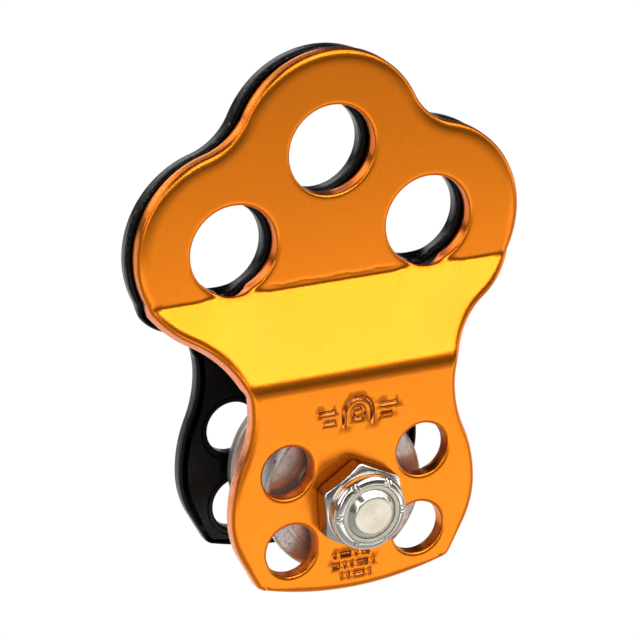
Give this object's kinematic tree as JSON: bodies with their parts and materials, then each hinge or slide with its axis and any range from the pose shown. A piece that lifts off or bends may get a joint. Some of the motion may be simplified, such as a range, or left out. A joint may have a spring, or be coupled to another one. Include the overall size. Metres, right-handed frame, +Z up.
{
  "type": "rope pulley",
  "caption": "Small swing-cheek rope pulley: two joggled side plates with carabiner holes, a grooved sheave and one axle bolt with a lock nut.",
  "frame": {"origin": "centre of the top carabiner hole of the front plate, midway between the two side plates", "axes": "+Z up from the axle to the top hole, +X across the plates, +Y along the axle from the nut to the bolt head"},
  "size_m": [0.0721, 0.039, 0.0941],
  "materials": {
    "anodised_orange": "satin orange anodised over a fine grain",
    "anodised_black": "satin black anodised",
    "tumbled_aluminium": "turned and tumbled, dull grey-brown",
    "bronze": "oiled sintered bronze",
    "stainless_steel": "bright machined",
    "nylon": "translucent off-white"
  },
  "bodies": {
    "front_side": {"front_plate": "anodised_orange"},
    "axle_set": {"axle_bolt": "stainless_steel", "lock_nut": "stainless_steel", "nut_insert": "nylon", "front_thrust_washer": "stainless_steel", "back_thrust_washer": "stainless_steel"},
    "sheave_set": {"sheave": "tumbled_aluminium", "sheave_bush": "bronze"},
    "back_side": {"back_plate": "anodised_black"}
  },
  "joints": [
    {"name": "axle_turn", "type": "hinge", "parent": "front_side", "child": "axle_set", "pos_m": [0, 0, -0.0602], "axis": [0, 1, 0], "continuous": true},
    {"name": "sheave_spin", "type": "hinge", "parent": "axle_set", "child": "sheave_set", "pos_m": [0, 0, -0.0602], "axis": [0, 1, 0], "continuous": true},
    {"name": "back_plate_swing", "type": "hinge", "parent": "axle_set", "child": "back_side", "pos_m": [0, 0, -0.0602], "axis": [0, 1, 0], "continuous": true}
  ]
}
